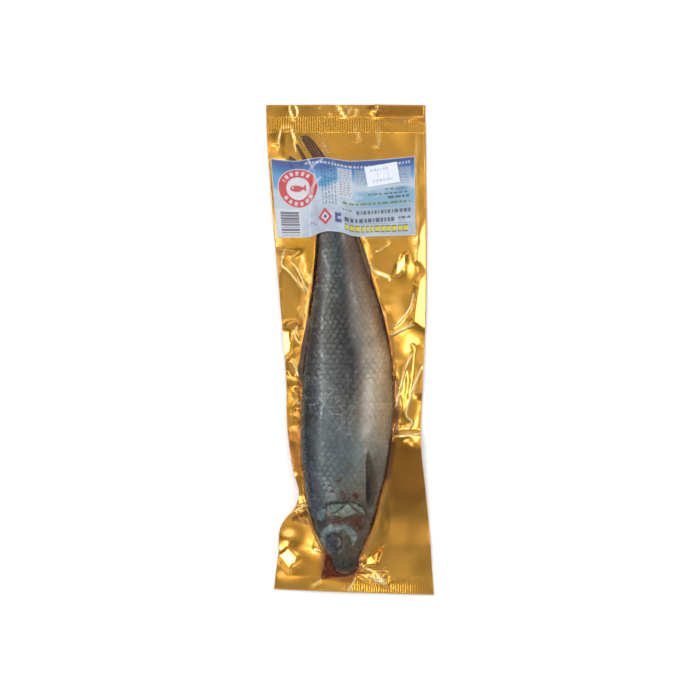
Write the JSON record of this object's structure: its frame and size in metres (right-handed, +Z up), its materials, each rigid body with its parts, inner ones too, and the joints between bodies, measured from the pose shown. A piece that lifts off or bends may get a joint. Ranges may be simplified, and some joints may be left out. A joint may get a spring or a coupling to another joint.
{
  "type": "vacuum-packed herring",
  "caption": "Whole lightly salted herring lying on its right side in a flat vacuum pouch: gold backing foil, clear front film, printed label and date sticker.",
  "frame": {"origin": "middle of the pouch's outline, at the height of the surface it lies on", "axes": "+Z up through the clear front film, +Y from the fish's head towards its tail and the pouch's header, +X towards the fish's belly"},
  "size_m": [0.1324, 0.3866, 0.0355],
  "materials": {
    "fish_skin": "wet silver-grey scaled skin, blue-black back, pinkish-cream belly",
    "gold_foil": "metallised gold laminate film, satin with crumples",
    "clear_film": "clear glossy film",
    "brine": "reddish-amber brine and oil, clear",
    "label_print": "printed plastic label in blue and white, glossy",
    "sticker_paper": "white paper sticker with faint grey print"
  },
  "bodies": {
    "root": {"herring": "fish_skin", "backing_foil": "gold_foil", "front_film": "clear_film", "brine": "brine", "printed_label": "label_print", "date_sticker": "sticker_paper"}
  },
  "joints": []
}
